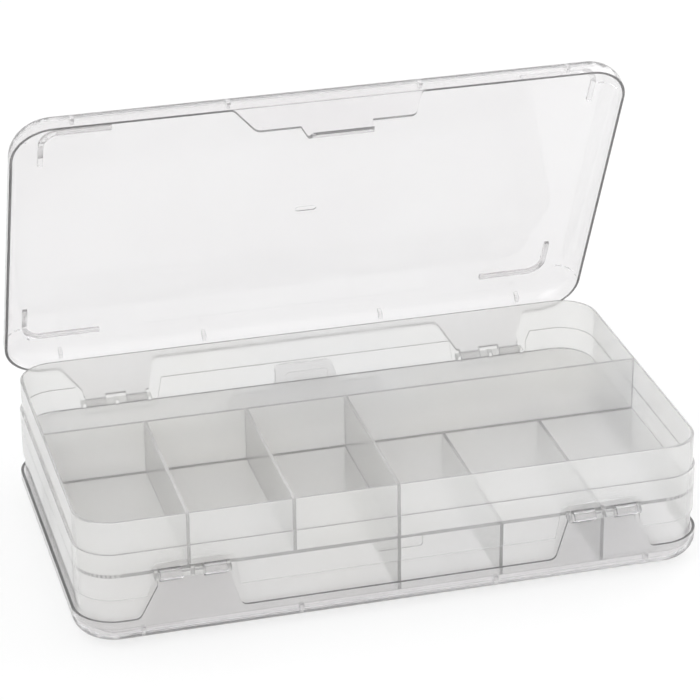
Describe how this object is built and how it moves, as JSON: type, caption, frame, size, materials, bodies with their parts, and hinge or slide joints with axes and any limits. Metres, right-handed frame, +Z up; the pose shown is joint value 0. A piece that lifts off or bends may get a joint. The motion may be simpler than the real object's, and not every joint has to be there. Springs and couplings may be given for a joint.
{
  "type": "double-sided compartment box",
  "caption": "Clear plastic craft box with a tray open on both faces, fixed dividers and a hinged snap lid on each face.",
  "frame": {"origin": "centre of the lower lid's flat outer face", "axes": "+X along the length, +Y towards the upper lid's hinge, +Z up"},
  "size_m": [0.2, 0.1403, 0.1393],
  "materials": {
    "clear_tray": "clear, slightly milky moulded polypropylene",
    "clear_lid": "clear moulded polypropylene"
  },
  "bodies": {
    "tray": {"tray_front_wall": "clear_tray", "tray_back_wall": "clear_tray", "tray_left_wall": "clear_tray", "tray_right_wall": "clear_tray", "middle_floor": "clear_tray", "upper_long_divider": "clear_tray", "upper_left_cross_divider": "clear_tray", "upper_middle_cross_divider": "clear_tray", "upper_right_cross_divider": "clear_tray", "lower_long_divider": "clear_tray", "lower_left_cross_divider": "clear_tray", "lower_middle_cross_divider": "clear_tray", "lower_right_cross_divider": "clear_tray", "front_left_hinge_bar": "clear_tray", "front_right_hinge_bar": "clear_tray", "back_left_hinge_bar": "clear_tray", "back_right_hinge_bar": "clear_tray"},
    "upper_lid": {"upper_lid_panel": "clear_lid", "upper_lid_front_wall": "clear_lid", "upper_lid_back_wall": "clear_lid", "upper_lid_left_wall": "clear_lid", "upper_lid_right_wall": "clear_lid", "upper_lid_left_hinge": "clear_lid", "upper_lid_right_hinge": "clear_lid", "upper_lid_latch": "clear_lid", "upper_lid_stacking_ribs": "clear_lid", "upper_lid_rest_ribs": "clear_lid"},
    "lower_lid": {"lower_lid_panel": "clear_lid", "lower_lid_front_wall": "clear_lid", "lower_lid_back_wall": "clear_lid", "lower_lid_left_wall": "clear_lid", "lower_lid_right_wall": "clear_lid", "lower_lid_left_hinge": "clear_lid", "lower_lid_right_hinge": "clear_lid", "lower_lid_latch": "clear_lid", "lower_lid_stacking_ribs": "clear_lid", "lower_lid_rest_ribs": "clear_lid"}
  },
  "joints": [
    {"name": "upper_lid_hinge", "type": "hinge", "parent": "tray", "child": "upper_lid", "pos_m": [0, 0.0597, 0.0235], "axis": [-1, 0, 0], "range_deg": [-64.85, 115.15]},
    {"name": "lower_lid_hinge", "type": "hinge", "parent": "tray", "child": "lower_lid", "pos_m": [0, -0.0597, 0.0235], "axis": [-1, 0, 0], "range_deg": [0, 180]}
  ]
}
